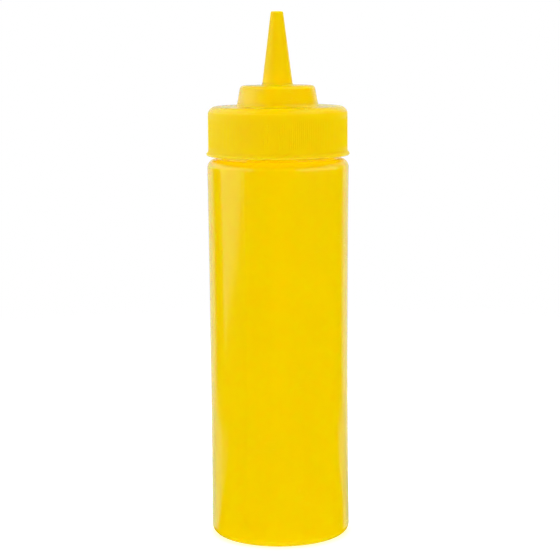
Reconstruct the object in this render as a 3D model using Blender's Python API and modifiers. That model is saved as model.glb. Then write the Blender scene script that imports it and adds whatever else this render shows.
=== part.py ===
"""Cone-tip squeeze bottle: a wide-mouth blown bottle and its one-piece screw cap, shut.

Metres, +Z up. The origin is the centre of the base, at the level of the ring that the bottle stands on.
Both pieces are turned about the Z axis, and are solid: the plastic is opaque and the cap is on.
"""

import math

import bmesh
import bpy

MM = 0.001

# The wall of the bottle: a cylinder that widens a little upwards and sinks in at mid height
FOOT_RADIUS = 35.1 * MM
SHOULDER_RADIUS = 35.5 * MM
WALL_SINK = 0.5 * MM
WALL_STATIONS = 5

# The base: a rounded corner, the ring it stands on, and a shallow dish inside the ring
BASE_CORNER = 4.3 * MM
DISH_RADIUS = 27.0 * MM
DISH_SLOPE_WIDTH = 4.0 * MM
DISH_DEPTH = 1.4 * MM
DISH_CORNER = 2.0 * MM

# The shoulder and the neck, which stands inside the cap
SHOULDER_TOP = 191.7 * MM
SHOULDER_ROUND = 4.5 * MM
NECK_RADIUS = 30.6 * MM
NECK_HEIGHT = 19.0 * MM
NECK_CORNER = 0.8 * MM

# The skirt of the cap, from the flange at its lower edge to the ledge round the turret
SKIRT_RADIUS = 34.9 * MM
FLANGE_RADIUS = 35.9 * MM
FLANGE_GAP = 1.45 * MM
FLANGE_THICKNESS = 1.15 * MM
FLANGE_FLARE = 1.1 * MM
FLANGE_CORNER = 0.8 * MM
FLARE_ROUND = 1.5 * MM
LEDGE_HEIGHT = 217.7 * MM
LEDGE_CORNER = 4.0 * MM

# The grip: fine upright ribs in a shallow band, their crests just under the plain skirt
RIB_COUNT = 210
RIB_DEPTH = 0.25 * MM
RIB_CREST_INSET = 0.05 * MM
BAND_DEPTH = 0.4 * MM
BAND_BOTTOM = 197.0 * MM
BAND_TOP = 212.0 * MM
BAND_END = 0.4 * MM
RIB_RING_WALL = 2.0 * MM
RIB_RING_OVERLAP = 0.5 * MM

# The turret, the cone and its open tip
TURRET_FOOT_RADIUS = 20.45 * MM
TURRET_TOP_RADIUS = 18.55 * MM
TURRET_TOP = 228.0 * MM
TURRET_FOOT_ROUND = 2.2 * MM
TURRET_CORNER = 2.1 * MM
CONE_FOOT_RADIUS = 7.68 * MM
CONE_FOOT_ROUND = 1.6 * MM
TIP_RADIUS = 3.06 * MM
TIP_HEIGHT = 264.5 * MM
TIP_CORNER = 0.9 * MM
ORIFICE_RADIUS = 1.9 * MM
ORIFICE_END_RADIUS = 1.6 * MM
ORIFICE_DEPTH = 14.0 * MM

# The hollow of the cap keeps this gap round the neck
CAP_GAP = 0.4 * MM

TURN_STEPS = 72
ARC_ERROR = 0.07 * MM
MERGE = 0.00001
SHARP_ANGLE = math.radians(40.0)

BOTTLE_YELLOW = (0.905, 0.597, 0.003, 1.0)
CAP_YELLOW = (0.855, 0.571, 0.004, 1.0)


def clear_scene():
    for old in list(bpy.data.objects):
        bpy.data.objects.remove(old, do_unlink=True)


def new_collection(name):
    collection = bpy.data.collections.new(name)
    bpy.context.scene.collection.children.link(collection)
    return collection


def plastic(name, colour, roughness):
    """Opaque soft polyethylene of one colour."""
    material = bpy.data.materials.new(name)
    material.use_nodes = True
    shader = material.node_tree.nodes["Principled BSDF"]
    shader.inputs["Base Color"].default_value = colour
    shader.inputs["Roughness"].default_value = roughness
    shader.inputs["Metallic"].default_value = 0.0
    return material


def fillet(before, corner, after, radius):
    """Points along an arc of this radius, tangent to both sides of a corner, within ARC_ERROR of round."""
    towards = []
    for x, z in (before, after):
        length = math.hypot(x - corner[0], z - corner[1])
        towards.append(((x - corner[0]) / length, (z - corner[1]) / length))
    (ax, az), (bx, bz) = towards
    opening = math.acos(max(-1.0, min(1.0, ax * bx + az * bz)))
    reach = radius / math.tan(opening / 2)
    middle = radius / math.sin(opening / 2)
    mx, mz = ax + bx, az + bz
    scale = middle / math.hypot(mx, mz)
    centre = (corner[0] + mx * scale, corner[1] + mz * scale)
    first = (corner[0] + ax * reach, corner[1] + az * reach)
    start = math.atan2(first[1] - centre[1], first[0] - centre[0])
    turn = math.pi - opening
    if ax * bz - az * bx > 0:
        turn = -turn
    widest = 2 * math.acos(1 - ARC_ERROR / radius)
    steps = max(1, math.ceil(abs(turn) / widest))
    angles = [start + turn * i / steps for i in range(steps + 1)]
    return [(centre[0] + radius * math.cos(a), centre[1] + radius * math.sin(a)) for a in angles]


def rounded_outline(corners):
    """An outline through corners of (radius, height, fillet), each rounded by its own fillet."""
    points = [corners[0][:2]]
    for before, corner, after in zip(corners, corners[1:], corners[2:]):
        if corner[2] > 0:
            points += fillet(before[:2], corner[:2], after[:2], corner[2])
        else:
            points.append(corner[:2])
    points.append(corners[-1][:2])
    return points


def turned(name, outline, material, collection):
    """A solid of revolution from an outline that starts and ends on the Z axis."""
    mesh = bpy.data.meshes.new(name)
    vertices = [(radius, 0.0, height) for radius, height in outline]
    edges = [(i, i + 1) for i in range(len(outline) - 1)]
    mesh.from_pydata(vertices, edges, [])
    mesh.materials.append(material)
    solid = bpy.data.objects.new(name, mesh)
    collection.objects.link(solid)
    screw = solid.modifiers.new("turn", "SCREW")
    screw.axis = "Z"
    screw.angle = math.tau
    screw.steps = TURN_STEPS
    screw.render_steps = TURN_STEPS
    screw.use_merge_vertices = True
    screw.merge_threshold = MERGE
    screw.use_smooth_shade = True
    return solid


def wall_radius(height):
    """The radius of the wall: a straight taper less a parabola that is deepest at mid height."""
    up = height / SHOULDER_TOP
    taper = FOOT_RADIUS + (SHOULDER_RADIUS - FOOT_RADIUS) * up
    return taper - WALL_SINK * 4 * up * (1 - up)


def bottle_outline():
    """From the rim of the neck, down the wall, under the base and up into its dish."""
    corners = [
        (0.0, SHOULDER_TOP + NECK_HEIGHT, 0.0),
        (NECK_RADIUS, SHOULDER_TOP + NECK_HEIGHT, NECK_CORNER),
        (NECK_RADIUS, SHOULDER_TOP, 0.0),
        (SHOULDER_RADIUS, SHOULDER_TOP, SHOULDER_ROUND),
    ]
    for i in range(WALL_STATIONS, 0, -1):
        height = SHOULDER_TOP * i / (WALL_STATIONS + 1)
        corners.append((wall_radius(height), height, 0.0))
    corners += [
        (FOOT_RADIUS, 0.0, BASE_CORNER),
        (DISH_RADIUS, 0.0, 0.0),
        (DISH_RADIUS - DISH_SLOPE_WIDTH, DISH_DEPTH, DISH_CORNER),
        (0.0, DISH_DEPTH, 0.0),
    ]
    return rounded_outline(corners)


def cap_outline():
    """From the floor of the orifice, over the tip, down the outside and up into the hollow for the neck."""
    flange_bottom = SHOULDER_TOP + FLANGE_GAP
    flange_top = flange_bottom + FLANGE_THICKNESS
    band_radius = SKIRT_RADIUS - BAND_DEPTH
    hollow_radius = NECK_RADIUS + CAP_GAP
    hollow_top = SHOULDER_TOP + NECK_HEIGHT + CAP_GAP
    corners = [
        (0.0, TIP_HEIGHT - ORIFICE_DEPTH, 0.0),
        (ORIFICE_END_RADIUS, TIP_HEIGHT - ORIFICE_DEPTH, 0.0),
        (ORIFICE_RADIUS, TIP_HEIGHT, 0.0),
        (TIP_RADIUS, TIP_HEIGHT, TIP_CORNER),
        (CONE_FOOT_RADIUS, TURRET_TOP, CONE_FOOT_ROUND),
        (TURRET_TOP_RADIUS, TURRET_TOP, TURRET_CORNER),
        (TURRET_FOOT_RADIUS, LEDGE_HEIGHT, TURRET_FOOT_ROUND),
        (SKIRT_RADIUS, LEDGE_HEIGHT, LEDGE_CORNER),
        (SKIRT_RADIUS, BAND_TOP + BAND_END, 0.0),
        (band_radius, BAND_TOP, 0.0),
        (band_radius, BAND_BOTTOM, 0.0),
        (SKIRT_RADIUS, BAND_BOTTOM - BAND_END, 0.0),
        (SKIRT_RADIUS, flange_top + FLANGE_FLARE, FLARE_ROUND),
        (FLANGE_RADIUS, flange_top, FLANGE_CORNER),
        (FLANGE_RADIUS, flange_bottom, FLANGE_CORNER),
        (hollow_radius, flange_bottom, 0.0),
        (hollow_radius, hollow_top, 0.0),
        (0.0, hollow_top, 0.0),
    ]
    return rounded_outline(corners)


def ring_spline(curve, radii):
    """A closed spline whose points lie at these radii, one after another round the Z axis."""
    spline = curve.splines.new("POLY")
    spline.points.add(len(radii) - 1)
    for i, radius in enumerate(radii):
        angle = math.tau * i / len(radii)
        spline.points[i].co = (radius * math.cos(angle), radius * math.sin(angle), 0.0, 1.0)
    spline.use_cyclic_u = True


def evaluated_mesh(source):
    """A new mesh of what an object's modifiers, or its curve, come to."""
    bpy.context.view_layer.update()
    graph = bpy.context.evaluated_depsgraph_get()
    return bpy.data.meshes.new_from_object(source.evaluated_get(graph))


def curve_to_mesh(source, collection):
    """A mesh object in place of a curve object, with its caps welded on."""
    mesh = evaluated_mesh(source)
    made = bpy.data.objects.new(source.name + "_solid", mesh)
    made.matrix_world = source.matrix_world.copy()
    collection.objects.link(made)
    bpy.data.objects.remove(source, do_unlink=True)
    shape = bmesh.new()
    shape.from_mesh(mesh)
    bmesh.ops.remove_doubles(shape, verts=shape.verts, dist=MERGE)
    shape.to_mesh(mesh)
    shape.free()
    return made


def rib_ring(collection):
    """A ring whose outside is the ribs: a fine star outline, extruded over the height of the band."""
    crest = SKIRT_RADIUS - RIB_CREST_INSET
    curve = bpy.data.curves.new("rib_ring", "CURVE")
    curve.dimensions = "2D"
    curve.fill_mode = "BOTH"
    curve.extrude = (BAND_TOP - BAND_BOTTOM) / 2 + RIB_RING_OVERLAP + BAND_END
    ring_spline(curve, [crest, crest - RIB_DEPTH] * RIB_COUNT)
    ring_spline(curve, [SKIRT_RADIUS - RIB_RING_WALL] * TURN_STEPS)
    ring = bpy.data.objects.new("rib_ring", curve)
    collection.objects.link(ring)
    ring.location.z = (BAND_TOP + BAND_BOTTOM) / 2
    made = curve_to_mesh(ring, collection)
    made.hide_render = True
    made.display_type = "WIRE"
    return made


def finish(solid):
    """Apply the modifiers, then shade round surfaces smooth and leave the corners sharp."""
    solid.data = evaluated_mesh(solid)
    solid.modifiers.clear()
    solid.data.shade_smooth()
    solid.data.set_sharp_from_angle(angle=SHARP_ANGLE)


def make_bottle(collection):
    """The blown bottle, whose neck stands inside the cap."""
    material = plastic("bottle_plastic", BOTTLE_YELLOW, 0.32)
    finish(turned("bottle", bottle_outline(), material, collection))


def make_cap(collection, cutters):
    """The screw cap: a ribbed skirt, a ledge, a drafted turret and the cone, all one moulding."""
    cap = turned("cap", cap_outline(), plastic("cap_plastic", CAP_YELLOW, 0.40), collection)
    ribs = cap.modifiers.new("ribs", "BOOLEAN")
    ribs.operation = "UNION"
    ribs.solver = "EXACT"
    ribs.object = rib_ring(cutters)
    finish(cap)


def main():
    clear_scene()
    parts = new_collection("squeeze_bottle")
    cutters = new_collection("cutters")
    make_bottle(parts)
    make_cap(parts, cutters)


main()
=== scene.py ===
"""Looks of a cone-tip squeeze bottle: its soft yellow plastic, its surfaces, and a plain studio round it.

Laid out as an add-on, and run as a script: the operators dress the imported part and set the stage.
"""

import math

import bpy
import numpy as np
from bpy.props import FloatProperty, FloatVectorProperty, IntProperty, PointerProperty
from mathutils import Matrix, Vector


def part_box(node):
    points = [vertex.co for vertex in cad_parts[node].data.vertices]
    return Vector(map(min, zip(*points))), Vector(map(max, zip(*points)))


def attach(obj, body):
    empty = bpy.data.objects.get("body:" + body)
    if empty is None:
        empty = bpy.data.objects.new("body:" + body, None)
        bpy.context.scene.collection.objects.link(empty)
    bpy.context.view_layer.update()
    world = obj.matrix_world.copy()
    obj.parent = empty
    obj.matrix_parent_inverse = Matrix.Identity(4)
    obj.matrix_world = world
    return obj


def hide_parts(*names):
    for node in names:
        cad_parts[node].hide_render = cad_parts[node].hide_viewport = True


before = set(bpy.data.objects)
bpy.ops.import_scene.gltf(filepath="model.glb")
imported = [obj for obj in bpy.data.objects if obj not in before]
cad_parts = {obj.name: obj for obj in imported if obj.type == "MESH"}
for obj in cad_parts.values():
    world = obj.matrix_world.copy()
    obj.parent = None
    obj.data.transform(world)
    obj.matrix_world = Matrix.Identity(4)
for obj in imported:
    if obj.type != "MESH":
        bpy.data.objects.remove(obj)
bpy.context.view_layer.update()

bl_info = {
    "name": "Squeeze Bottle",
    "version": (1, 0, 0),
    "blender": (4, 5, 0),
    "location": "View3D > Sidebar > Squeeze Bottle",
    "description": "A cone-tip squeeze bottle of soft yellow plastic, its ribbed screw cap and a studio",
    "category": "Add Mesh",
}

MM = 0.001
BODY = "root"

NECK_TOP = float(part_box("bottle")[1][2])
CAP_BOTTOM, CAP_TOP = (float(corner[2]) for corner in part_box("cap"))


# --------------------------------------------------------------------------------------------------
# Surfaces: rings of points, one after another along an outline
# --------------------------------------------------------------------------------------------------

LEAST_FILLET_STEPS = 3


def smooth_step(low, high, value):
    """0 below low, 1 above high, and the cubic 3t^2 - 2t^3 in between."""
    t = np.clip((value - low) / (high - low), 0.0, 1.0)
    return t * t * (3.0 - 2.0 * t)


def fillet(before, corner, after, radius, steps):
    """Points of the arc of this radius that is tangent to both sides of a corner.

    Centre = corner + the unit bisector * radius / sin(opening / 2). The arc turns by pi - opening about it in
    even steps, which gives a (steps + 1, 2) array.
    """
    a = (before - corner) / np.linalg.norm(before - corner)
    b = (after - corner) / np.linalg.norm(after - corner)
    opening = math.acos(float(np.clip(a @ b, -1.0, 1.0)))
    centre = corner + (a + b) / np.linalg.norm(a + b) * radius / math.sin(opening / 2)
    first = corner + a * radius / math.tan(opening / 2) - centre
    turn = (math.pi - opening) * (-1.0 if a[0] * b[1] - a[1] * b[0] > 0 else 1.0)
    angles = math.atan2(first[1], first[0]) + np.linspace(0.0, turn, steps + 1)
    return centre + radius * np.stack([np.cos(angles), np.sin(angles)], axis=-1)


def outline(corners, arc_length, longest):
    """An outline through corners of (radius, height, fillet).

    Each fillet is an arc with a point about every arc_length, and a straight side is split evenly into steps
    no longer than longest.
    """
    points = [np.array(corner[:2]) for corner in corners]
    pieces = [points[0][None]]
    for i in range(1, len(corners) - 1):
        radius = corners[i][2]
        if radius > 0:
            steps = max(LEAST_FILLET_STEPS, round(radius * math.pi / 2 / arc_length))
            pieces.append(fillet(points[i - 1], points[i], points[i + 1], radius, steps))
        else:
            pieces.append(points[i][None])
    pieces.append(points[-1][None])
    filled = [pieces[0]]
    for before, after in zip(pieces, pieces[1:]):
        steps = max(1, math.ceil(float(np.linalg.norm(after[0] - before[-1])) / longest))
        between = np.linspace(0.0, 1.0, steps + 1)[1:-1, None]
        filled.append(before[-1] + (after[0] - before[-1]) * between)
        filled.append(after)
    return np.concatenate(filled)


def ring_faces(first, second, start_first, start_second):
    """Faces between two closed rings of first and second points, as an array with one face a row.

    Equal rings are joined by four-sided faces and a ring and a pole by triangles. Where one ring has several
    times the points of the other, each face has that many steps on its finer side.
    """
    if second == 1:
        i = np.arange(first)
        pole = np.full(first, start_second)
        return np.stack([start_first + i, start_first + (i + 1) % first, pole], axis=-1)
    if first == 1:
        i = np.arange(second)
        pole = np.full(second, start_first)
        return np.stack([start_second + (i + 1) % second, start_second + i, pole], axis=-1)
    coarse, fine = min(first, second), max(first, second)
    ratio = fine // coarse
    k = np.arange(coarse)
    fine_side = (k[:, None] * ratio + np.arange(ratio + 1)) % fine
    coarse_side = np.stack([(k + 1) % coarse, k], axis=-1)
    if first >= second:
        return np.concatenate([start_first + fine_side, start_second + coarse_side], axis=1)
    return np.concatenate([start_second + fine_side, start_first + coarse_side], axis=1)[:, ::-1]


def placed(name, data):
    """A new object in the scene, at the origin."""
    thing = bpy.data.objects.new(name, data)
    bpy.context.scene.collection.objects.link(thing)
    return thing


def surface(name, rings):
    """A closed mesh object through rings of points, from a pole at its start to a pole at its end."""
    starts = np.cumsum([0] + [len(ring) for ring in rings])
    faces = [
        ring_faces(len(a), len(b), starts[i], starts[i + 1])
        for i, (a, b) in enumerate(zip(rings, rings[1:]))
    ]
    corners = np.concatenate([face.ravel() for face in faces])
    totals = np.concatenate([np.full(len(face), face.shape[1]) for face in faces])
    mesh = bpy.data.meshes.new(name)
    mesh.vertices.add(starts[-1])
    mesh.vertices.foreach_set("co", np.concatenate(rings).astype(np.float32).ravel())
    mesh.loops.add(len(corners))
    mesh.loops.foreach_set("vertex_index", corners.astype(np.int32))
    mesh.polygons.add(len(totals))
    mesh.polygons.foreach_set("loop_start", (np.cumsum(totals) - totals).astype(np.int32))
    mesh.update(calc_edges=True)
    mesh.validate()
    return placed(name, mesh)


def turned_ring(radius, height, angles):
    """Points (radius * cos(angle), radius * sin(angle), height) round the Z axis."""
    radius = np.broadcast_to(radius, angles.shape)
    height = np.broadcast_to(height, angles.shape)
    return np.stack([radius * np.cos(angles), radius * np.sin(angles), height], axis=-1)


def hump(off, width):
    """A ridge: (1 + cos(2 pi off / width)) / 2 within half a width of its crest, and 0 beyond."""
    return np.where(off < width / 2, 0.5 + 0.5 * np.cos(math.tau * off / width), 0.0)


# --------------------------------------------------------------------------------------------------
# Soft plastic
# --------------------------------------------------------------------------------------------------

# The plastic's unevenness, as noises of (scale in cells a metre, detail, roughness, distortion). The flow
# lines and the scuffs are drawn out by stretching the space across and along the bottle.
CLOUDS = (26.0, 3.0)
FLOW_LINES = (1.0, 3.0, 0.6)
FLOW_STRETCH = (150.0, 150.0, 4.0)
SPECKS = (900.0, 2.0)
RUBS = (38.0, 4.0, 0.6)
SCUFFS = (1.0, 5.0, 0.7, 1.2)
SCUFF_STRETCH = (60.0, 60.0, 260.0)
PEBBLES = (1400.0, 2.0, 0.5)
NOISE_MIDDLE = 0.5

# Shares of clouds, flow lines and specks in the tone, and the range of it that runs from shade to colour
CLOUD_SHARE = 0.55
FLOW_SHARE = 0.3
SPECK_SHARE = 0.15
TONE_RANGE = (0.36, 0.64)

# Where rubbed patches begin and are full, how thin the scuffs are, and what both add to the roughness
RUB_RANGE = (0.5, 0.72)
RUB_ROUGHNESS = 0.05
SCUFF_WIDTH = 0.012
SCUFF_ROUGHNESS = 0.1

# The plastic's own gloss, and how light scatters in it: red furthest, blue hardly at all
PLASTIC_IOR = 1.5
PLASTIC_SHINE = 0.5
SCATTER_WEIGHT = 0.8
SCATTER_RADIUS = (1.0, 0.7, 0.05)

# The height over which a satin zone fades in, and what the grip and the cone add to roughness and to shine
SATIN_FADE = 0.8 * MM
GRIP_SATIN = (0.25, -0.32)
CONE_SATIN = (0.12, -0.25)

BOTTLE_FINISH = {"depth": 8 * MM, "roughness": 0.15, "streak": 0.006 * MM, "peel": 0.004 * MM}
CAP_FINISH = {"depth": 2.5 * MM, "roughness": 0.2, "streak": 0.0, "peel": 0.006 * MM}


class Nodes:
    """A short way to add linked nodes to a tree."""

    def __init__(self, tree):
        self.tree = tree
        tree.nodes.clear()

    def put(self, socket, value):
        """Link a socket to another one's value, or set it to a number or colour."""
        if isinstance(value, bpy.types.NodeSocket):
            self.tree.links.new(value, socket)
        else:
            socket.default_value = value

    def add(self, kind, inputs=None, **settings):
        node = self.tree.nodes.new(kind)
        for key, value in settings.items():
            setattr(node, key, value)
        for key, value in (inputs or {}).items():
            self.put(node.inputs[key], value)
        return node

    def noise(self, place, scale, detail=2.0, roughness=0.5, distortion=0.0):
        wanted = {"Vector": place, "Scale": scale, "Detail": detail, "Roughness": roughness}
        return self.add("ShaderNodeTexNoise", {**wanted, "Distortion": distortion}).outputs["Fac"]

    def stretch(self, place, scale):
        return self.add("ShaderNodeMapping", {"Vector": place, "Scale": scale}).outputs["Vector"]

    def level(self, value, low, high, to_low, to_high):
        """value from low..high, carried smoothly to to_low..to_high."""
        wanted = {"Value": value, "From Min": low, "From Max": high, "To Min": to_low, "To Max": to_high}
        return self.add("ShaderNodeMapRange", wanted, interpolation_type="SMOOTHSTEP").outputs["Result"]

    def math(self, operation, *values):
        return self.add("ShaderNodeMath", dict(enumerate(values)), operation=operation).outputs[0]

    def sum(self, first, second):
        return self.math("ADD", first, second)

    def product(self, first, second):
        return self.math("MULTIPLY", first, second)

    def larger(self, first, second):
        return self.math("MAXIMUM", first, second)

    def unsigned(self, value):
        return self.math("ABSOLUTE", value)

    def mix_colour(self, factor, first, second):
        node = self.add("ShaderNodeMix", data_type="RGBA")
        for socket, value in ((0, factor), (6, first), (7, second)):
            self.put(node.inputs[socket], value)
        return node.outputs[2]

    def mix_shader(self, factor, first, second):
        return self.add("ShaderNodeMixShader", {0: factor, 1: first, 2: second}).outputs[0]

    def bump(self, height, distance, normal=None):
        wanted = {"Height": height, "Strength": 1.0, "Distance": distance}
        if normal is not None:
            wanted["Normal"] = normal
        return self.add("ShaderNodeBump", wanted).outputs["Normal"]


def new_material(name):
    """A material and a short way to fill its tree."""
    material = bpy.data.materials.new(name)
    material.use_nodes = True
    return material, Nodes(material.node_tree)


def soft_plastic(name, colour, shade, depth, roughness, streak, peel, satin=()):
    """Pigmented low-density polyethylene.

    colour and shade are the two close tones it wavers between, and depth is how far light travels in it.
    streak is the depth of the faint upright flow lines, and peel that of the fine pebbling that softens its
    gloss. Rubbed patches and hairline scuffs are a little rougher. Between the heights of each zone in
    satin, the mould left a finer grain, which adds to the roughness and takes from the shine.
    """
    material, n = new_material(name)
    place = n.add("ShaderNodeTexCoord").outputs["Object"]

    cloud = n.noise(place, *CLOUDS)
    flow = n.noise(n.stretch(place, FLOW_STRETCH), *FLOW_LINES)
    speck = n.noise(place, *SPECKS)
    fine_waver = n.sum(n.product(flow, FLOW_SHARE), n.product(speck, SPECK_SHARE))
    waver = n.sum(n.product(cloud, CLOUD_SHARE), fine_waver)
    tint = n.mix_colour(n.level(waver, *TONE_RANGE, 0.0, 1.0), (*shade, 1.0), (*colour, 1.0))

    rubbed = n.level(n.noise(place, *RUBS), *RUB_RANGE, 0.0, RUB_ROUGHNESS)
    hair = n.noise(n.stretch(place, SCUFF_STRETCH), *SCUFFS)
    scuff = n.level(n.unsigned(n.sum(hair, -NOISE_MIDDLE)), 0.0, SCUFF_WIDTH, SCUFF_ROUGHNESS, 0.0)
    gloss = n.sum(n.sum(roughness, rubbed), scuff)
    shine = PLASTIC_SHINE
    z = n.add("ShaderNodeSeparateXYZ", {"Vector": place}).outputs["Z"]
    for low, high, rougher, duller in satin:
        above = n.level(z, low - SATIN_FADE, low, 0.0, 1.0)
        below = n.level(z, high, high + SATIN_FADE, 1.0, 0.0)
        zone = n.product(above, below)
        gloss = n.sum(gloss, n.product(zone, rougher))
        shine = n.sum(shine, n.product(zone, duller))

    normal = n.bump(n.noise(place, *PEBBLES), peel)
    normal = n.bump(flow, streak, normal)

    shader = n.add("ShaderNodeBsdfPrincipled", {
        "Base Color": tint,
        "Roughness": gloss,
        "Normal": normal,
        "IOR": PLASTIC_IOR,
        "Specular IOR Level": shine,
        "Subsurface Weight": SCATTER_WEIGHT,
        "Subsurface Scale": depth,
        "Subsurface Radius": SCATTER_RADIUS,
    })
    n.add("ShaderNodeOutputMaterial", {"Surface": shader.outputs["BSDF"]})
    return material


def dress(piece, material, node, sharp_angle):
    """Give a piece its plastic, shade it, and let it stand for its node on the frame."""
    piece.data.materials.append(material)
    piece.data.shade_smooth()
    piece.data.set_sharp_from_angle(angle=sharp_angle)
    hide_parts(node)
    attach(piece, BODY)


# --------------------------------------------------------------------------------------------------
# Sizes and colours
# --------------------------------------------------------------------------------------------------


def length(name, description, default):
    return FloatProperty(
        name=name, description=description, default=default, min=0.0, unit="LENGTH", precision=5
    )


def tilt(name, description, degrees):
    return FloatProperty(
        name=name, description=description, default=math.radians(degrees), subtype="ANGLE"
    )


def power(name, description, watts):
    return FloatProperty(name=name, description=description, default=watts, min=0.0, unit="POWER")


def brightness(name, description, default):
    return FloatProperty(name=name, description=description, default=default, min=0.0)


def tone(name, description, default):
    return FloatVectorProperty(
        name=name, description=description, default=default, subtype="COLOR", min=0, max=1
    )


class SqueezeBottleSettings(bpy.types.PropertyGroup):
    """The blown bottle."""

    foot_radius: length("Foot radius", "Radius of the wall just above the base", 35.1 * MM)
    shoulder_radius: length("Shoulder radius", "Radius of the wall under the shoulder", 35.5 * MM)
    wall_sink: length("Wall sink", "How far the soft wall sinks in at mid height", 0.5 * MM)
    side_sink: length("Side sink", "How much further it sinks on one side than the other", 0.3 * MM)
    wall_waver: length("Wall waver", "Height of the long, shallow waves of the wall", 0.05 * MM)
    base_corner: length("Base corner", "Radius of the rounded edge of the base", 4.3 * MM)
    dish_radius: length("Dish radius", "Radius where the dish under the base begins", 27.0 * MM)
    dish_depth: length("Dish depth", "Depth of the dish under the base", 1.4 * MM)
    pinch_height: length("Pinch height", "Height of the pinched ridge across the dish", 0.35 * MM)
    pinch_width: length("Pinch width", "Width of the pinched ridge", 1.2 * MM)
    shoulder_top: length("Shoulder top", "Height of the top of the shoulder", 191.7 * MM)
    shoulder_round: length("Shoulder round", "Radius of the round of the shoulder", 4.5 * MM)
    neck_radius: length("Neck radius", "Radius of the neck inside the cap", 30.6 * MM)
    seam_height: length("Seam height", "How proud the mould's parting line stands", 0.05 * MM)
    seam_width: length("Seam width", "Width of the parting line", 0.7 * MM)
    seam_angle: tilt("Seam angle", "Where the parting line runs, from the right-hand side", 62.0)
    colour: tone("Colour", "Main tone of the plastic", (0.89, 0.636, 0.0))
    shade: tone("Shade", "Second tone that the plastic wavers to", (0.88, 0.623, 0.0))


class SqueezeCapSettings(bpy.types.PropertyGroup):
    """The screw cap with its cone."""

    skirt_radius: length("Skirt radius", "Radius over the crests of the ribs", 34.9 * MM)
    flange_radius: length("Flange radius", "Radius of the flange at the lower edge", 35.9 * MM)
    ledge_height: length("Ledge height", "Height of the flat ledge round the turret", 217.7 * MM)
    ledge_corner: length("Ledge corner", "Radius of the rounded edge of the ledge", 4.0 * MM)
    rib_count: IntProperty(name="Ribs", description="Number of upright ribs", default=210, min=3)
    rib_depth: length("Rib depth", "Depth of the valleys between the ribs", 0.17 * MM)
    band_bottom: length("Band bottom", "Height where the ribs begin", 197.0 * MM)
    band_top: length("Band top", "Height where the ribs end", 212.0 * MM)
    turret_foot: length("Turret foot", "Radius of the turret at the ledge", 20.45 * MM)
    turret_top_radius: length("Turret top radius", "Radius of the turret at its top", 18.55 * MM)
    turret_top: length("Turret top", "Height of the top of the turret", 228.0 * MM)
    cone_foot: length("Cone foot", "Radius of the cone at the turret", 7.68 * MM)
    tip_radius: length("Tip radius", "Radius of the cone at its cut tip", 3.06 * MM)
    orifice_radius: length("Orifice radius", "Radius of the hole in the tip", 1.9 * MM)
    orifice_depth: length("Orifice depth", "Depth that the hole is made to", 14.0 * MM)
    colour: tone("Colour", "Main tone of the plastic", (0.862, 0.608, 0.0))
    shade: tone("Shade", "Second tone that the plastic wavers to", (0.852, 0.594, 0.0))


class SqueezeStageSettings(bpy.types.PropertyGroup):
    """The floor, the lights and the camera."""

    camera_distance: length("Camera distance", "Distance in front of the bottle", 878.15 * MM)
    camera_height: length("Camera height", "Height of the camera above the floor", 252.9 * MM)
    camera_side: length("Camera side", "How far the camera stands to the right", 0.55 * MM)
    camera_pitch: tilt("Camera pitch", "How far it looks down", 7.97)
    camera_roll: tilt("Camera roll", "How far it is turned clockwise", 0.43)
    lens: FloatProperty(name="Lens", description="Focal length", default=112.6, unit="CAMERA")
    floor_colour: tone("Floor colour", "Colour of the floor", (0.93, 0.93, 0.93))
    left_light: brightness("Left cards", "Brightness of the left cards", 0.95)
    right_light: brightness("Right cards", "Brightness of the right cards", 0.7)
    gap_light: brightness("Gap glow", "Brightness of the glow under the flange", 1.35)
    fill_light: power("Fill light", "Power of the ring of fills", 62.3)
    table_light: power("Table light", "Power of the bounce off the table", 3.5)
    top_light: power("Top light", "Power of the fill overhead", 15.5)


# --------------------------------------------------------------------------------------------------
# The bottle
# --------------------------------------------------------------------------------------------------

# Columns round the bottle, the spacing of points along its outline, and the least angle of a sharp edge
BOTTLE_COLUMNS = 360
BOTTLE_ARC = 0.5 * MM
BOTTLE_STEP = 2.0 * MM
BOTTLE_SHARP = math.radians(40.0)

# Extra columns over half a parting line, and the least angle between two columns
SEAM_FINE_STEPS = 6
LEAST_COLUMN = 1e-4

# The slope and the rounds of the dish, and the round of the neck's rim
DISH_SLOPE_WIDTH = 4.0 * MM
DISH_EDGE_ROUND = 0.4 * MM
DISH_FLOOR_ROUND = 2.0 * MM
NECK_CORNER = 0.8 * MM

# How far inside the foot's radius the wall begins, the height that the waves' turns along the bottle are
# counted over, and how fast they grow from both ends of the wall
WALL_MARGIN = 1.0 * MM
WAVE_HEIGHT = 60.0 * MM
WAVE_FADE = 3.0

# The share of the dish's depth at which its ridge begins, and the share of the height below which it lies
DISH_FADE = 0.6
DISH_BELOW = 0.5

# The waves of the wall as (share, turns round the bottle, turns along it in radians a WAVE_HEIGHT, start)
WALL_WAVES = (
    (0.40, 2, 0.8, 0.6),
    (0.25, 3, -1.3, 2.1),
    (0.20, 5, 0.5, 0.0),
    (0.15, 1, 1.9, 0.0),
)


def bottle_angles(s):
    """Even columns round the bottle, with extra ones across the two parting lines."""
    even = np.arange(BOTTLE_COLUMNS) * math.tau / BOTTLE_COLUMNS
    fine = np.linspace(-1.0, 1.0, 2 * SEAM_FINE_STEPS + 1) * s.seam_width / s.shoulder_radius
    seams = np.concatenate([fine + s.seam_angle, fine + s.seam_angle + math.pi])
    merged = np.sort(np.mod(np.concatenate([even, seams]), math.tau))
    keep = np.concatenate([[True], np.diff(merged) > LEAST_COLUMN])
    return merged[keep]


def seam_profile(s, angles):
    """1 on the crests of the two parting lines and 0 away from them: a hump of seam_width along the wall."""
    nearest = np.mod(angles - s.seam_angle + math.pi / 2, math.pi) - math.pi / 2
    return hump(np.abs(nearest) * s.shoulder_radius, s.seam_width)


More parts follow.
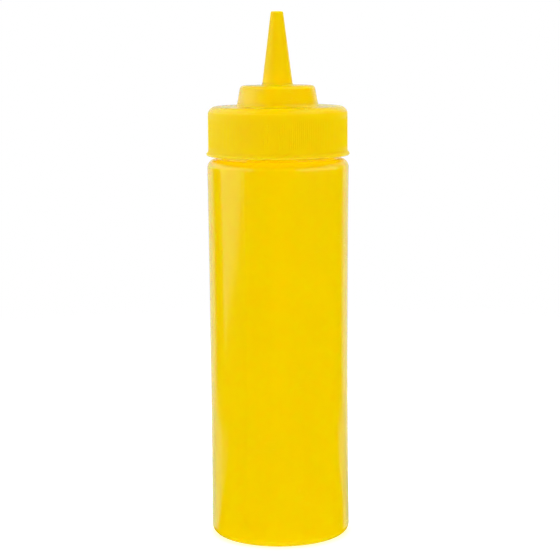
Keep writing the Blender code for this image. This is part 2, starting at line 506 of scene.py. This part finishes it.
def pinch_ridge(s, radius, angles):
    """Height of the ridge that the mould pinched across the dish, in line with the parting lines.

    It is pinch_height times a hump of pinch_width, over the distance radius * sin(angle - seam_angle).
    """
    return s.pinch_height * hump(np.abs(radius * np.sin(angles - s.seam_angle)), s.pinch_width)


def wall_waves(angles, height):
    """Long shallow waves: the sum of share * sin(around * angle + along * height + start), within -1 to 1."""
    z = height / WAVE_HEIGHT
    return sum(
        share * np.sin(around * angles + along * z + start) for share, around, along, start in WALL_WAVES
    )


def bottle_rings(s):
    """The bottle's outer surface, from the rim of its neck to the middle of its base.

    Radius = a straight taper - wall_sink * 4t(1 - t) - side_sink * 4t(1 - t) * cos(angle) / 2 + waves + seam,
    with t the height over the shoulder's. The last four are on the wall alone.
    """
    top = s.shoulder_top
    corners = [
        (0.0, NECK_TOP, 0.0),
        (s.neck_radius, NECK_TOP, NECK_CORNER),
        (s.neck_radius, top, 0.0),
        (s.shoulder_radius, top, s.shoulder_round),
        (s.foot_radius, 0.0, s.base_corner),
        (s.dish_radius, 0.0, DISH_EDGE_ROUND),
        (s.dish_radius - DISH_SLOPE_WIDTH, s.dish_depth, DISH_FLOOR_ROUND),
        (0.0, s.dish_depth, 0.0),
    ]
    line = outline(corners, BOTTLE_ARC, BOTTLE_STEP)
    angles = bottle_angles(s)
    wall_start = s.foot_radius - WALL_MARGIN
    rings = [np.array([[0.0, 0.0, NECK_TOP]])]
    for radius, height in line[1:-1]:
        t = height / top
        bow = 4 * t * (1 - t) if t < 1 else 0.0
        on_wall = float(smooth_step(s.neck_radius, wall_start, np.float64(radius))) * (t < 1)
        relief = s.wall_waver * wall_waves(angles, height) * min(1.0, WAVE_FADE * bow)
        relief = relief - bow * (s.wall_sink + s.side_sink * np.cos(angles) / 2)
        relief = relief + on_wall * s.seam_height * seam_profile(s, angles)
        in_dish = float(smooth_step(DISH_FADE * s.dish_depth, s.dish_depth, height)) * (t < DISH_BELOW)
        ridge = in_dish * pinch_ridge(s, radius, angles)
        rings.append(turned_ring(radius + relief * on_wall, height - ridge, angles))
    rings.append(np.array([[0.0, 0.0, s.dish_depth - s.pinch_height]]))
    return rings


class SQUEEZE_OT_bottle(bpy.types.Operator):
    """Make the blown bottle"""

    bl_idname = "squeeze.bottle"
    bl_label = "Bottle"

    def execute(self, context):
        s = context.scene.squeeze_bottle
        material = soft_plastic("bottle_plastic_finish", s.colour, s.shade, **BOTTLE_FINISH)
        piece = surface("bottle_shell", bottle_rings(s))
        dress(piece, material, "bottle", BOTTLE_SHARP)
        return {"FINISHED"}


# --------------------------------------------------------------------------------------------------
# The cap
# --------------------------------------------------------------------------------------------------

# Columns a rib, how narrow the valleys are, and how many of these columns go to one off the skirt
RIB_STEPS = 6
RIB_SHARPNESS = 1.3
COLUMN_RATIO = 6

# The spacing of points along the cap's outline, and the least angle of a sharp edge
CAP_ARC = 0.4 * MM
CAP_STEP = 1.2 * MM
CAP_SHARP = math.radians(50.0)

# The flange and the flare above it, and how far inside its radius the skirt begins
FLANGE_THICKNESS = 1.15 * MM
FLANGE_FLARE = 1.1 * MM
FLANGE_CORNER = 0.8 * MM
FLARE_ROUND = 1.5 * MM
SKIRT_MARGIN = 2.0 * MM

# The rounds of the turret and the cone, and the share of the hole's radius that is left at its floor
TURRET_FOOT_ROUND = 2.2 * MM
TURRET_CORNER = 2.1 * MM
CONE_FOOT_ROUND = 1.6 * MM
TIP_CORNER = 0.9 * MM
ORIFICE_TAPER = 0.85
ORIFICE_EDGE = 0.2 * MM

# The height over which the ribs fade at both ends, and the hollow that the neck stands in
BAND_FADE = 0.8 * MM
NECK_GAP = 0.4 * MM
HOLLOW_RADIUS = 31.0 * MM

# The satin zones, from above the flange to below the ledge, and from above the turret to beyond the tip
GRIP_ABOVE_FLANGE = 0.3 * MM
GRIP_BELOW_LEDGE = 2.9 * MM
CONE_ABOVE_TURRET = (1.0 * MM, 50.0 * MM)


def cap_outline(s):
    """From the floor of the orifice, over the tip, down the outside and up into the neck's hollow."""
    flange_top = CAP_BOTTOM + FLANGE_THICKNESS
    hollow_top = NECK_TOP + NECK_GAP
    corners = [
        (0.0, CAP_TOP - s.orifice_depth, 0.0),
        (s.orifice_radius * ORIFICE_TAPER, CAP_TOP - s.orifice_depth, 0.0),
        (s.orifice_radius, CAP_TOP, ORIFICE_EDGE),
        (s.tip_radius, CAP_TOP, TIP_CORNER),
        (s.cone_foot, s.turret_top, CONE_FOOT_ROUND),
        (s.turret_top_radius, s.turret_top, TURRET_CORNER),
        (s.turret_foot, s.ledge_height, TURRET_FOOT_ROUND),
        (s.skirt_radius, s.ledge_height, s.ledge_corner),
        (s.skirt_radius, flange_top + FLANGE_FLARE, FLARE_ROUND),
        (s.flange_radius, flange_top, FLANGE_CORNER),
        (s.flange_radius, CAP_BOTTOM, FLANGE_CORNER),
        (HOLLOW_RADIUS, CAP_BOTTOM, 0.0),
        (HOLLOW_RADIUS, hollow_top, 0.0),
        (0.0, hollow_top, 0.0),
    ]
    return outline(corners, CAP_ARC, CAP_STEP)


def cap_rings(s):
    """The cap's surface as rings, fine on the skirt and its corners and coarse elsewhere.

    Radius on the skirt = outline - rib_depth * ((1 - cos(rib_count * angle)) / 2) ^ RIB_SHARPNESS * fade,
    where fade rises from 0 to 1 at both ends of the ribbed band.
    """
    line = cap_outline(s)
    fine = np.arange(s.rib_count * RIB_STEPS) * math.tau / (s.rib_count * RIB_STEPS)
    coarse = fine[::COLUMN_RATIO]
    valley = (0.5 - 0.5 * np.cos(s.rib_count * fine)) ** RIB_SHARPNESS
    on_skirt = line[:, 0] > s.skirt_radius - SKIRT_MARGIN
    rings = [np.array([[0.0, 0.0, line[0, 1]]])]
    for (radius, height), ribbed in zip(line[1:-1], on_skirt[1:-1]):
        if ribbed:
            fade = smooth_step(s.band_bottom, s.band_bottom + BAND_FADE, height)
            fade = fade * (1.0 - smooth_step(s.band_top - BAND_FADE, s.band_top, height))
            rings.append(turned_ring(radius - s.rib_depth * valley * fade, height, fine))
        else:
            rings.append(turned_ring(radius, height, coarse))
    rings.append(np.array([[0.0, 0.0, line[-1, 1]]]))
    return rings


class SQUEEZE_OT_cap(bpy.types.Operator):
    """Make the ribbed screw cap with its turret and cone"""

    bl_idname = "squeeze.cap"
    bl_label = "Cap"

    def execute(self, context):
        s = context.scene.squeeze_cap
        grip_bottom = CAP_BOTTOM + FLANGE_THICKNESS + GRIP_ABOVE_FLANGE
        grip_top = s.ledge_height - GRIP_BELOW_LEDGE
        cone_bottom, cone_top = (s.turret_top + above for above in CONE_ABOVE_TURRET)
        satin = ((grip_bottom, grip_top, *GRIP_SATIN), (cone_bottom, cone_top, *CONE_SATIN))
        material = soft_plastic("cap_plastic_finish", s.colour, s.shade, **CAP_FINISH, satin=satin)
        piece = surface("cap_moulding", cap_rings(s))
        dress(piece, material, "cap", CAP_SHARP)
        return {"FINISHED"}


# --------------------------------------------------------------------------------------------------
# The stage
# --------------------------------------------------------------------------------------------------

# The light of the walls and the floor, of the cards, and of what the plastic mirrors of the walls
WHITE = (1.0, 1.0, 1.0)
COOL = (0.35, 0.85, 1.0)
PALE_COOL = (0.8, 0.95, 1.0)

# The studio's walls, as ranges of the way's x, y and z over which each fades in, and their brightness
ASIDE_RANGE = (0.12, 0.32)
PATCH_RANGE = (0.3, 0.5)
BACK_RANGE = (0.60, 0.74)
BACK_LIGHT = 0.8
DOME_SLANT = 0.7
DOME_RANGE = (0.35, 0.75)
DOME_LIGHT = 0.4
TABLE_RANGE = (-0.60, -0.40)
TABLE_LIGHT = 0.9
TABLE_SHARE = 0.65
ROOM_RANGE = (0.0, 0.3)
ROOM_LIGHT = 0.14

# The floor: its size, where it fades into the studio, its faint grain, and its own glow
FLOOR_SIZE = 1.6
FLOOR_FADE = (0.3, 0.75)
FLOOR_GRAIN = (6.0, 4.0)
FLOOR_GRAIN_RANGE = (0.3, 0.7)
FLOOR_GRAIN_SHADE = 0.99
FLOOR_ROUGHNESS = 0.9
FLOOR_GLOW = 0.45

# The fills: how many stand in the ring, its radius and height, the sizes, and the height that all face
FILL_COUNT = 6
FILL_DISTANCE = 1.5
FILL_HEIGHT = 0.2
FILL_SIZE = (1.3, 0.8)
TOP_FILL_HEIGHT = 1.6
TOP_FILL_SIZE = (0.7, 0.7)
TABLE_FILL_HEIGHT = -0.5
TABLE_FILL_SIZE = (1.2, 1.2)
FILL_AIM = 0.13

# The left cards, upright planes at two distances to the left, as corners of (y, z). The low one has a
# slanted lower edge above the table, the high one is for the top of the cap, and the front one for the wall.
LEFT_DISTANCE = -0.58
LEFT_LOW = (
    (-0.69, 0.62), (-0.69, 0.60), (-0.33, 0.44), (-0.19, 0.36), (-0.19, 0.26), (-0.37, 0.18),
    (-0.36, 0.16), (-0.32, 0.10), (-0.19, 0.062), (0.02, 0.030), (0.10, 0.006), (0.12, 0.0),
    (0.12, 0.10), (0.16, 0.15), (0.16, 0.30), (0.60, 0.52), (0.60, 0.62),
)
LEFT_HIGH = ((-0.69, 1.10), (-0.69, 0.62), (0.60, 0.62), (0.60, 1.10))
LEFT_FRONT_DISTANCE = -0.62
LEFT_FRONT = ((-0.74, 0.55), (-0.74, 0.175), (-0.20, 0.175), (-0.20, 0.55))

# The right card for the cap, one metre from a point at its height, as turns and rises in degrees
RIGHT_TURNS = (28, 104)
RIGHT_RISES = (22, 62)
RIGHT_CENTRE_HEIGHT = 0.2

# The upright bands that the round of the shoulder mirrors, as radius, turns in degrees and heights, and how
# much brighter they are than the cards beside them
LEFT_BAND = (0.12, (-62, -130), (0.198, 0.243))
LEFT_BAND_GAIN = 1.35
RIGHT_BAND = (0.30, (30, 107), (0.180, 0.375))
RIGHT_BAND_GAIN = 1.4
BAND_STEPS = 12

# What the glossy foot mirrors on the table: the sheens, as corners of (x, y) and brightness, and a painted
# reflection of the table in the bottle's shadow and yellow bounce light, a dim oval with its middle in front
# of the axis
SHEENS = (
    ("sheen_left_far", ((-0.10, 0.02), (-0.26, 0.00), (-0.26, 0.30), (-0.10, 0.12)), 0.25),
    ("sheen_left_near", ((-0.02, -0.01), (-0.08, 0.012), (-0.26, 0.09), (-0.26, 0.30), (-0.02, 0.06)), 0.75),
    ("sheen_right", ((0.03, -0.005), (0.07, 0.03), (0.25, 0.09), (0.25, 0.30), (0.03, 0.06)), 0.52),
)
SHEEN_HEIGHT = 0.5 * MM
FOOT_SHADE_HALF_AXES = (39.0 * MM, 55.0 * MM)
FOOT_SHADE_MIDDLE = -10.0 * MM
FOOT_SHADE_HEIGHT = 0.8 * MM
FOOT_SHADE_COLOUR = (1.0, 0.66, 0.0)
FOOT_SHADE_LIGHT = 0.1
FOOT_SHADE_STEPS = 48

# The glow under the flange as rings of (name, inner radius, outer radius, share of the light, colour),
# and how far they hang below it
GAP_RINGS = (
    ("gap_glow_inner", 30.7 * MM, 33.2 * MM, 1.0, (1.0, 0.68, 0.07)),
    ("gap_glow_outer", 33.2 * MM, 35.4 * MM, 1.25, (1.0, 0.62, 0.05)),
)
GAP_RING_DROP = 0.04 * MM
GAP_RING_STEPS = 90

SENSOR_WIDTH = 36.0


def flat_mesh(name, points, faces):
    """A mesh of a few flat faces through these points."""
    mesh = bpy.data.meshes.new(name)
    mesh.from_pydata(points, [], faces)
    return mesh


def fill(name, centre, size, watts):
    """A large soft light that faces the bottle, brightens plastic and floor, and shows in no gloss."""
    lamp = bpy.data.lights.new(name, "AREA")
    lamp.shape = "RECTANGLE"
    lamp.size, lamp.size_y = size
    lamp.energy = watts
    lamp.cycles.use_multiple_importance_sampling = False
    light = placed(name, lamp)
    light.location = centre
    light.rotation_euler = (Vector((0, 0, FILL_AIM)) - Vector(centre)).to_track_quat("-Z", "Y").to_euler()
    light.visible_camera = False
    light.visible_glossy = False


def fill_ring(watts):
    """A ring of fills that brighten the plastic evenly from all round."""
    for i in range(FILL_COUNT):
        angle = math.tau * i / FILL_COUNT
        centre = (FILL_DISTANCE * math.sin(angle), -FILL_DISTANCE * math.cos(angle), FILL_HEIGHT)
        fill(f"fill_{i + 1}", centre, FILL_SIZE, watts / FILL_COUNT)


def glowing(name, mesh, strength, colour, mirrored=True):
    """A stage object that glows, casts no shadow and isn't seen by the camera.

    It shows in the gloss of the plastic and sheds no light. Where it isn't to be mirrored, it sheds light
    from its front and shows in no gloss.
    """
    material, n = new_material(name)
    if not mirrored:
        behind = n.add("ShaderNodeNewGeometry").outputs["Backfacing"]
        strength = n.product(n.sum(n.product(behind, -1.0), 1.0), strength)
    shader = n.add("ShaderNodeEmission", {"Color": (*colour, 1.0), "Strength": strength})
    n.add("ShaderNodeOutputMaterial", {"Surface": shader.outputs[0]})
    mesh.materials.append(material)
    glow = placed(name, mesh)
    glow.visible_camera = False
    glow.visible_shadow = False
    glow.visible_diffuse = not mirrored
    glow.visible_glossy = mirrored
    return glow


def card(name, corners, strength, colour=COOL):
    """A glowing flat card through these corners."""
    return glowing(name, flat_mesh(name, corners, [tuple(range(len(corners)))]), strength, colour)


def upright_card(name, distance, corners, strength):
    """A card in the plane x = distance, through corners of (y, z)."""
    return card(name, [(distance, y, z) for y, z in corners], strength)


def table_card(name, height, corners, strength, colour=COOL):
    """A card just above the table, through corners of (x, y)."""
    return card(name, [(x, y, height) for x, y in corners], strength, colour)


def band_card(name, radius, turns, heights, strength):
    """A glowing upright band round one side: radius * (sin(turn), -cos(turn)) at two heights."""
    angles = np.radians(np.linspace(*turns, BAND_STEPS + 1))
    points = np.stack([np.sin(angles), -np.cos(angles)], axis=-1) * radius
    corners = [(x, y, z) for z in heights for x, y in points]
    faces = [(i, i + 1, i + BAND_STEPS + 2, i + BAND_STEPS + 1) for i in range(BAND_STEPS)]
    return glowing(name, flat_mesh(name, corners, faces), strength, COOL)


def gap_ring(name, inner, outer, strength, colour):
    """A thin flat ring just under the flange that glows downwards."""
    turns = np.arange(GAP_RING_STEPS) * math.tau / GAP_RING_STEPS
    height = CAP_BOTTOM - GAP_RING_DROP
    i = np.arange(GAP_RING_STEPS)
    j = (i + 1) % GAP_RING_STEPS
    faces = np.stack([i, j, j + GAP_RING_STEPS, i + GAP_RING_STEPS], axis=-1)
    points = np.concatenate([turned_ring(inner, height, turns), turned_ring(outer, height, turns)])
    glowing(name, flat_mesh(name, points.tolist(), faces.tolist()), strength, colour, mirrored=False)


def only_on(glow, piece):
    """Let a glowing card show in the gloss of this piece alone."""
    receivers = bpy.data.collections.new(glow.name + "_receivers")
    receivers.objects.link(bpy.data.objects[piece])
    glow.light_linking.receiver_collection = receivers


def left_cards(strength):
    """The left soft box: upright beside the bottle, and wide above it for the cap."""
    upright_card("left_card_low", LEFT_DISTANCE, LEFT_LOW, strength)
    only_on(upright_card("left_card_high", LEFT_DISTANCE, LEFT_HIGH, strength), "cap_moulding")
    only_on(upright_card("left_card_front", LEFT_FRONT_DISTANCE, LEFT_FRONT, strength), "bottle_shell")
    band_card("left_band", *LEFT_BAND, LEFT_BAND_GAIN * strength)


def right_cards(strength):
    """The right soft box: up in front and to the right for the cap, and lower down for the shoulder."""
    (near, far), (low, high) = RIGHT_TURNS, RIGHT_RISES
    corners = []
    for turn, rise in ((near, low), (far, low), (far, high), (near, high)):
        a, e = math.radians(turn), math.radians(rise)
        height = math.sin(e) + RIGHT_CENTRE_HEIGHT
        corners.append((math.sin(a) * math.cos(e), -math.cos(a) * math.cos(e), height))
    only_on(card("right_card", corners, strength), "cap_moulding")
    only_on(band_card("right_band", *RIGHT_BAND, RIGHT_BAND_GAIN * strength), "bottle_shell")


def table_cards():
    """The sheen of the lit table at both sides, and round the foot a dim yellow card: painted shade, the
    table's shadow and yellow bounce light as the foot mirrors them.
    """
    for name, corners, strength in SHEENS:
        table_card(name, SHEEN_HEIGHT, corners, strength)
    across, along = FOOT_SHADE_HALF_AXES
    turns = np.linspace(0, math.tau, FOOT_SHADE_STEPS, endpoint=False)
    oval = [(across * math.cos(a), along * math.sin(a) + FOOT_SHADE_MIDDLE) for a in turns]
    # A dim yellow card in the foot's gloss: painted shade and painted reflection, standing for the table's
    # shadow and yellow bounce light round the foot
    table_card("foot_cast", FOOT_SHADE_HEIGHT, oval, FOOT_SHADE_LIGHT, FOOT_SHADE_COLOUR)


def gap_glow(strength):
    """The light that soaks through the flange from above into the gap under it, stronger towards the rim."""
    for name, inner, outer, share, colour in GAP_RINGS:
        gap_ring(name, inner, outer, share * strength, colour)


def studio_world():
    """White to the camera. In the plastic's gloss it is pale behind and far below, and dark in front.

    The light that it sheds is even all round: strong from far below and weak from above.
    """
    world = bpy.data.worlds.new("studio")
    bpy.context.scene.world = world
    world.use_nodes = True
    n = Nodes(world.node_tree)
    way = n.add("ShaderNodeTexCoord").outputs["Generated"]
    split = n.add("ShaderNodeSeparateXYZ", {"Vector": way})
    x, y, z = split.outputs["X"], split.outputs["Y"], split.outputs["Z"]

    # The pale back wall, without a patch high in the middle, and the dome above it, open in the middle
    aside = n.level(n.unsigned(x), *ASIDE_RANGE, 0.0, 1.0)
    low_or_aside = n.larger(aside, n.level(z, *PATCH_RANGE, 1.0, 0.0))
    back = n.product(n.level(y, *BACK_RANGE, 0.0, BACK_LIGHT), low_or_aside)
    up_and_back = n.sum(n.product(y, DOME_SLANT), n.product(z, DOME_SLANT))
    dome = n.product(n.level(up_and_back, *DOME_RANGE, 0.0, DOME_LIGHT), aside)

    # The lit table far below, and the light that it and the room above shed on the plastic
    table = n.level(z, *TABLE_RANGE, TABLE_LIGHT, 0.0)
    seen = n.larger(n.larger(back, dome), table)
    shed = n.sum(n.product(table, TABLE_SHARE), n.level(z, *ROOM_RANGE, 0.0, ROOM_LIGHT))

    path = n.add("ShaderNodeLightPath")
    gloss = n.add("ShaderNodeBackground", {"Color": (*PALE_COOL, 1.0), "Strength": seen}).outputs[0]
    light = n.add("ShaderNodeBackground", {"Color": (*WHITE, 1.0), "Strength": shed}).outputs[0]
    plain = n.add("ShaderNodeBackground", {"Color": (*WHITE, 1.0), "Strength": 1.0}).outputs[0]
    inner = n.mix_shader(path.outputs["Is Glossy Ray"], light, gloss)
    mixed = n.mix_shader(path.outputs["Is Camera Ray"], inner, plain)
    n.add("ShaderNodeOutputWorld", {"Surface": mixed})


def pale_floor(colour):
    """A plain pale floor that takes light and shadow, and melts into the white studio further out."""
    corners = np.array([[-1, -1, 0], [1, -1, 0], [1, 1, 0], [-1, 1, 0]]) * FLOOR_SIZE / 2
    mesh = flat_mesh("floor", corners.tolist(), [(0, 1, 2, 3)])
    floor = placed("floor", mesh)
    material, n = new_material("floor_paper")
    place = n.add("ShaderNodeTexCoord").outputs["Object"]
    grain = n.level(n.noise(place, *FLOOR_GRAIN), *FLOOR_GRAIN_RANGE, 0.0, 1.0)
    pale = n.mix_colour(grain, (*[FLOOR_GRAIN_SHADE * c for c in colour], 1.0), (*colour, 1.0))
    paper = n.add("ShaderNodeBsdfPrincipled", {
        "Base Color": pale,
        "Roughness": FLOOR_ROUGHNESS,
        "Emission Color": (*WHITE, 1.0),
        "Emission Strength": FLOOR_GLOW,
    })
    clear = n.add("ShaderNodeBsdfTransparent")
    distance = n.add("ShaderNodeVectorMath", {0: place}, operation="LENGTH").outputs["Value"]
    fade = n.level(distance, *FLOOR_FADE, 0.0, 1.0)
    n.add("ShaderNodeOutputMaterial", {
        "Surface": n.mix_shader(fade, paper.outputs["BSDF"], clear.outputs["BSDF"]),
    })
    mesh.materials.append(material)
    floor.visible_diffuse = False
    floor.visible_glossy = False
    floor.visible_shadow = False


def camera(s):
    """The camera, a little above the cap and looking down."""
    lens = bpy.data.cameras.new("camera")
    lens.lens = s.lens
    lens.sensor_width = SENSOR_WIDTH
    view = placed("camera", lens)
    turned = Matrix.Rotation(math.pi / 2 - s.camera_pitch, 4, "X") @ Matrix.Rotation(-s.camera_roll, 4, "Z")
    view.matrix_world = Matrix.Translation((s.camera_side, -s.camera_distance, s.camera_height)) @ turned
    bpy.context.scene.camera = view


class SQUEEZE_OT_stage(bpy.types.Operator):
    """Make the floor, the lights and the camera"""

    bl_idname = "squeeze.stage"
    bl_label = "Stage"

    def execute(self, context):
        s = context.scene.squeeze_stage
        context.scene.view_settings.view_transform = "Standard"
        studio_world()
        pale_floor(s.floor_colour)
        left_cards(s.left_light)
        right_cards(s.right_light)
        table_cards()
        gap_glow(s.gap_light)
        fill("top_fill", (0.0, 0.0, TOP_FILL_HEIGHT), TOP_FILL_SIZE, s.top_light)
        fill("table_fill", (0.0, 0.0, TABLE_FILL_HEIGHT), TABLE_FILL_SIZE, s.table_light)
        fill_ring(s.fill_light)
        camera(s)
        return {"FINISHED"}


# --------------------------------------------------------------------------------------------------
# Panel and registration
# --------------------------------------------------------------------------------------------------


class SQUEEZE_PT_panel(bpy.types.Panel):
    """Sizes, colours and steps of the squeeze bottle"""

    bl_idname = "SQUEEZE_PT_panel"
    bl_label = "Squeeze Bottle"
    bl_space_type = "VIEW_3D"
    bl_region_type = "UI"
    bl_category = "Squeeze Bottle"

    def draw(self, context):
        for group, operator in GROUPS:
            box = self.layout.box()
            settings = getattr(context.scene, group)
            for name in settings.bl_rna.properties.keys():
                if name not in {"rna_type", "name"}:
                    box.prop(settings, name)
            box.operator(operator)


GROUPS = (
    ("squeeze_bottle", "squeeze.bottle"),
    ("squeeze_cap", "squeeze.cap"),
    ("squeeze_stage", "squeeze.stage"),
)
CLASSES = (
    SqueezeBottleSettings,
    SqueezeCapSettings,
    SqueezeStageSettings,
    SQUEEZE_OT_bottle,
    SQUEEZE_OT_cap,
    SQUEEZE_OT_stage,
    SQUEEZE_PT_panel,
)


def register():
    for each in CLASSES:
        bpy.utils.register_class(each)
    bpy.types.Scene.squeeze_bottle = PointerProperty(type=SqueezeBottleSettings)
    bpy.types.Scene.squeeze_cap = PointerProperty(type=SqueezeCapSettings)
    bpy.types.Scene.squeeze_stage = PointerProperty(type=SqueezeStageSettings)


def unregister():
    for group, _ in GROUPS:
        delattr(bpy.types.Scene, group)
    for each in reversed(CLASSES):
        bpy.utils.unregister_class(each)


def main():
    register()
    bpy.ops.squeeze.bottle()
    bpy.ops.squeeze.cap()
    bpy.ops.squeeze.stage()


if __name__ == "__main__":
    main()
